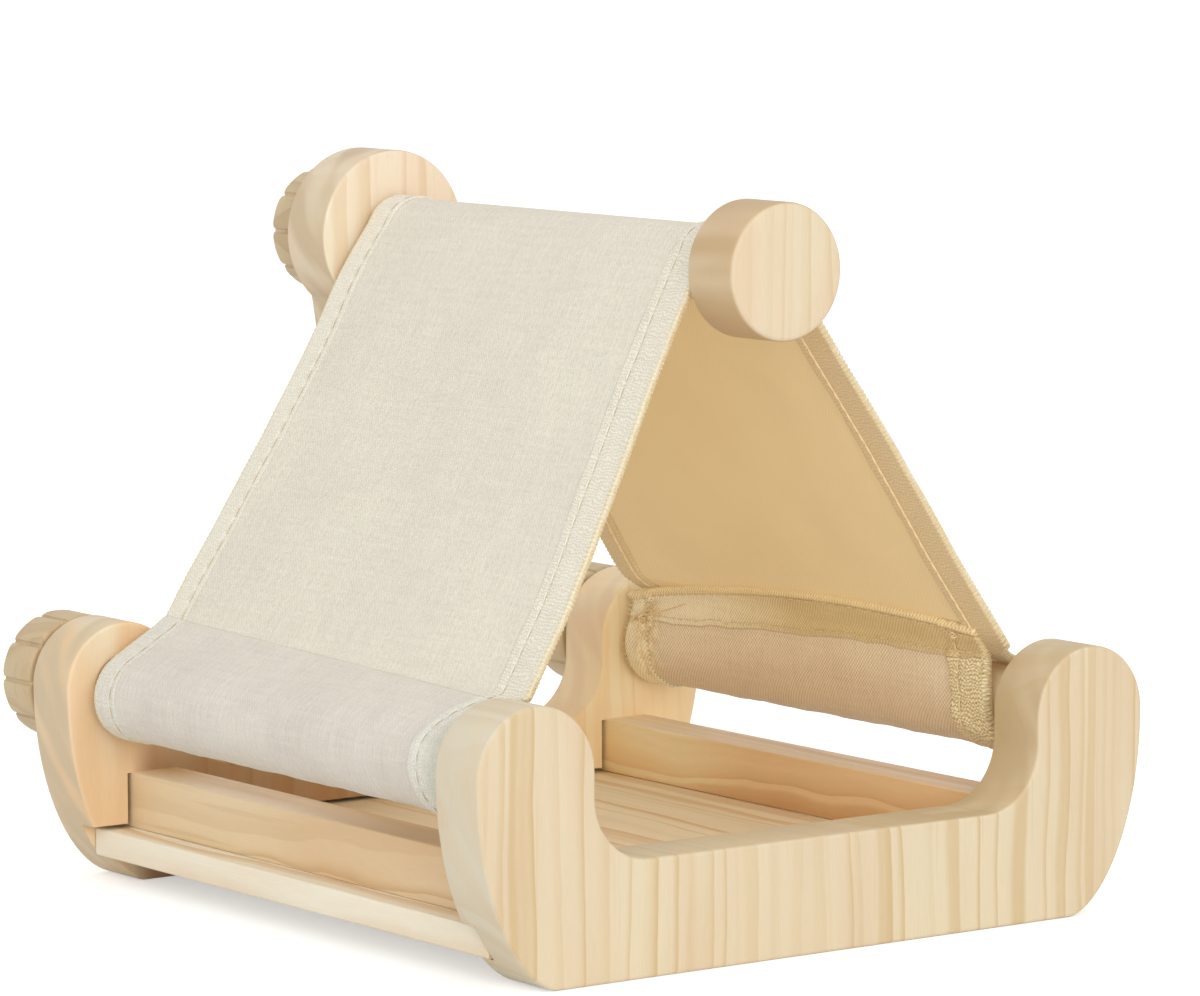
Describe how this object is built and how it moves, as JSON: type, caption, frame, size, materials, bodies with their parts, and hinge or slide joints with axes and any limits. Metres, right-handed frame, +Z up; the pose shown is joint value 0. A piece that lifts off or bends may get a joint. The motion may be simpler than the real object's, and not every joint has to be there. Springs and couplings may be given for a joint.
{
  "type": "bird nest bed",
  "caption": "Tent bed for a cage bird: pine end panels, a floor board and rails, a canvas roof over three rods, and clamp knobs at the back.",
  "frame": {"origin": "middle of the footprint on the surface that the bed stands on", "axes": "+X across the bed to its right seen from the front, +Y from the open front to the clamped back, +Z up"},
  "size_m": [0.1718, 0.184, 0.1576],
  "materials": {
    "pine": "clear matt varnish on sanded pine",
    "canvas": "unbleached plain-weave cotton canvas",
    "zinc_plated_steel": "bright zinc plating",
    "brass": "plain turned"
  },
  "bodies": {
    "base": {"front_panel": "pine", "rear_panel": "pine", "floor_board": "pine", "left_rail": "pine", "right_rail": "pine", "ridge_rod": "pine", "left_rod": "pine", "right_rod": "pine", "ridge_end_knob": "pine", "canvas_cover": "canvas", "ridge_dowel_screw": "zinc_plated_steel", "left_dowel_screw": "zinc_plated_steel", "right_dowel_screw": "zinc_plated_steel", "ridge_hanger_bolt": "zinc_plated_steel", "left_hanger_bolt": "zinc_plated_steel", "right_hanger_bolt": "zinc_plated_steel"},
    "ridge_washer": {"ridge_clamp_washer": "zinc_plated_steel"},
    "ridge_knob": {"ridge_clamp_knob": "pine", "ridge_knob_insert": "brass"},
    "left_washer": {"left_clamp_washer": "zinc_plated_steel"},
    "left_knob": {"left_clamp_knob": "pine", "left_knob_insert": "brass"},
    "right_washer": {"right_clamp_washer": "zinc_plated_steel"},
    "right_knob": {"right_clamp_knob": "pine", "right_knob_insert": "brass"}
  },
  "joints": [
    {"name": "ridge_clamp_travel", "type": "slide", "parent": "base", "child": "ridge_washer", "axis": [0, 1, 0], "range_m": [0, 0.005]},
    {"name": "ridge_clamp_turn", "type": "hinge", "parent": "ridge_washer", "child": "ridge_knob", "pos_m": [0, 0.0801, 0.1388], "axis": [0, 1, 0], "range_deg": [0, 1800]},
    {"name": "left_clamp_travel", "type": "slide", "parent": "base", "child": "left_washer", "axis": [0, 1, 0], "range_m": [0, 0.005]},
    {"name": "left_clamp_turn", "type": "hinge", "parent": "left_washer", "child": "left_knob", "pos_m": [-0.0716, 0.0801, 0.0431], "axis": [0, 1, 0], "range_deg": [0, 1800]},
    {"name": "right_clamp_travel", "type": "slide", "parent": "base", "child": "right_washer", "axis": [0, 1, 0], "range_m": [0, 0.005]},
    {"name": "right_clamp_turn", "type": "hinge", "parent": "right_washer", "child": "right_knob", "pos_m": [0.0716, 0.0801, 0.0431], "axis": [0, 1, 0], "range_deg": [0, 1800]}
  ],
  "couplings": [
    {"joint": "ridge_clamp_travel", "follows": "ridge_clamp_turn", "m_per_rad": 0.00015915},
    {"joint": "left_clamp_travel", "follows": "left_clamp_turn", "m_per_rad": 0.00015915},
    {"joint": "right_clamp_travel", "follows": "right_clamp_turn", "m_per_rad": 0.00015915}
  ]
}
